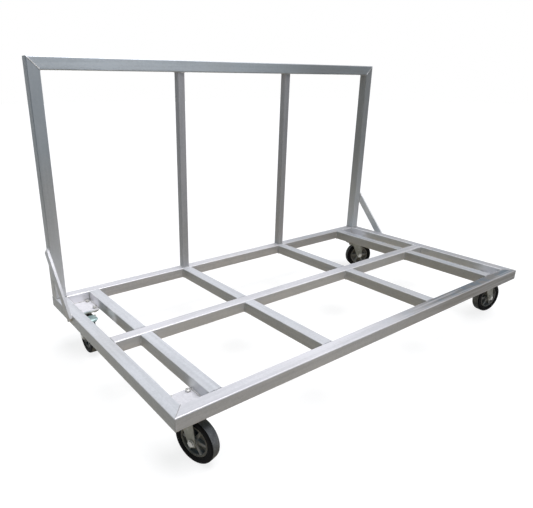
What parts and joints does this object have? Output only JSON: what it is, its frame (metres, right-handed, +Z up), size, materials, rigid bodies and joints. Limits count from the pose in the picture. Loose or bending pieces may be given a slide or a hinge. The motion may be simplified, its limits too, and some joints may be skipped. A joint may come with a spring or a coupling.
{
  "type": "sheet goods cart",
  "caption": "Welded square-tube platform cart on swivel casters, with a tall braced back frame for leaning sheet goods.",
  "frame": {"origin": "on the floor under the middle of the deck", "axes": "+X along the deck's length to the right, +Y from the open front to the back frame, +Z up"},
  "size_m": [2.0861, 1.0987, 1.25],
  "materials": {
    "galvanised": "satin galvanised square tube",
    "zinc_plate": "dull zinc-plated pressed steel",
    "bright_steel": "bright zinc fasteners",
    "blue_zinc": "blue passivated zinc",
    "hub_grey": "moulded grey nylon",
    "tyre": "black rubber"
  },
  "bodies": {
    "frame": {"front_rail": "galvanised", "back_rail": "galvanised", "left_end_rail": "galvanised", "right_end_rail": "galvanised", "centre_rail": "galvanised", "left_inner_cross_front": "galvanised", "left_inner_cross_rear": "galvanised", "left_middle_cross_front": "galvanised", "left_middle_cross_rear": "galvanised", "right_inner_cross_front": "galvanised", "right_inner_cross_rear": "galvanised", "right_middle_cross_front": "galvanised", "right_middle_cross_rear": "galvanised", "left_post": "galvanised", "right_post": "galvanised", "top_rail": "galvanised", "left_upright": "galvanised", "right_upright": "galvanised", "left_brace": "galvanised", "right_brace": "galvanised", "front_left_corner_plate": "galvanised", "front_left_top_plate": "zinc_plate", "front_left_kingpin": "bright_steel", "front_right_corner_plate": "galvanised", "front_right_top_plate": "zinc_plate", "front_right_kingpin": "bright_steel", "back_left_corner_plate": "galvanised", "back_left_top_plate": "zinc_plate", "back_left_kingpin": "bright_steel", "back_right_corner_plate": "galvanised", "back_right_top_plate": "zinc_plate", "back_right_kingpin": "bright_steel"},
    "front_left_swivel": {"front_left_swivel_race": "bright_steel", "front_left_fork": "zinc_plate", "front_left_axle_bolt": "bright_steel", "front_left_axle_nut": "bright_steel"},
    "front_left_wheel": {"front_left_hub": "hub_grey", "front_left_tyre": "tyre"},
    "front_right_swivel": {"front_right_swivel_race": "bright_steel", "front_right_fork": "zinc_plate", "front_right_axle_bolt": "bright_steel", "front_right_axle_nut": "bright_steel"},
    "front_right_wheel": {"front_right_hub": "hub_grey", "front_right_tyre": "tyre"},
    "back_left_swivel": {"back_left_swivel_race": "bright_steel", "back_left_fork": "zinc_plate", "back_left_axle_bolt": "bright_steel", "back_left_axle_nut": "bright_steel", "back_left_brake_pin": "bright_steel"},
    "back_left_wheel": {"back_left_hub": "hub_grey", "back_left_tyre": "tyre"},
    "back_right_swivel": {"back_right_swivel_race": "bright_steel", "back_right_fork": "zinc_plate", "back_right_axle_bolt": "bright_steel", "back_right_axle_nut": "bright_steel"},
    "back_right_wheel": {"back_right_hub": "hub_grey", "back_right_tyre": "tyre"},
    "back_left_brake": {"back_left_brake_pedal": "blue_zinc", "back_left_brake_shoe": "tyre"}
  },
  "joints": [
    {"name": "front_left_swivel_turn", "type": "hinge", "parent": "frame", "child": "front_left_swivel", "pos_m": [-0.9225, -0.434, 0.08], "axis": [0, 0, 1], "continuous": true},
    {"name": "front_left_wheel_roll", "type": "hinge", "parent": "front_left_swivel", "child": "front_left_wheel", "pos_m": [-0.90982, -0.47822, 0.08], "axis": [0.9613, 0.2756, 0], "continuous": true},
    {"name": "front_right_swivel_turn", "type": "hinge", "parent": "frame", "child": "front_right_swivel", "pos_m": [0.9225, -0.434, 0.08], "axis": [0, 0, 1], "continuous": true},
    {"name": "front_right_wheel_roll", "type": "hinge", "parent": "front_right_swivel", "child": "front_right_wheel", "pos_m": [0.9678, -0.44199, 0.08], "axis": [0.1736, 0.9848, 0], "continuous": true},
    {"name": "back_left_swivel_turn", "type": "hinge", "parent": "frame", "child": "back_left_swivel", "pos_m": [-0.9225, 0.434, 0.08], "axis": [0, 0, 1], "continuous": true},
    {"name": "back_left_wheel_roll", "type": "hinge", "parent": "back_left_swivel", "child": "back_left_wheel", "pos_m": [-0.9241, 0.38803, 0.08], "axis": [0.9994, -0.0349, 0], "continuous": true},
    {"name": "back_right_swivel_turn", "type": "hinge", "parent": "frame", "child": "back_right_swivel", "pos_m": [0.9225, 0.434, 0.08], "axis": [0, 0, 1], "continuous": true},
    {"name": "back_right_wheel_roll", "type": "hinge", "parent": "back_right_swivel", "child": "back_right_wheel", "pos_m": [0.96273, 0.4117, 0.08], "axis": [0.4848, 0.8746, 0], "continuous": true},
    {"name": "back_left_brake_press", "type": "hinge", "parent": "back_left_swivel", "child": "back_left_brake", "pos_m": [-0.92459, 0.37404, 0.172], "axis": [0.9994, -0.0349, 0], "range_deg": [0, 6]}
  ]
}
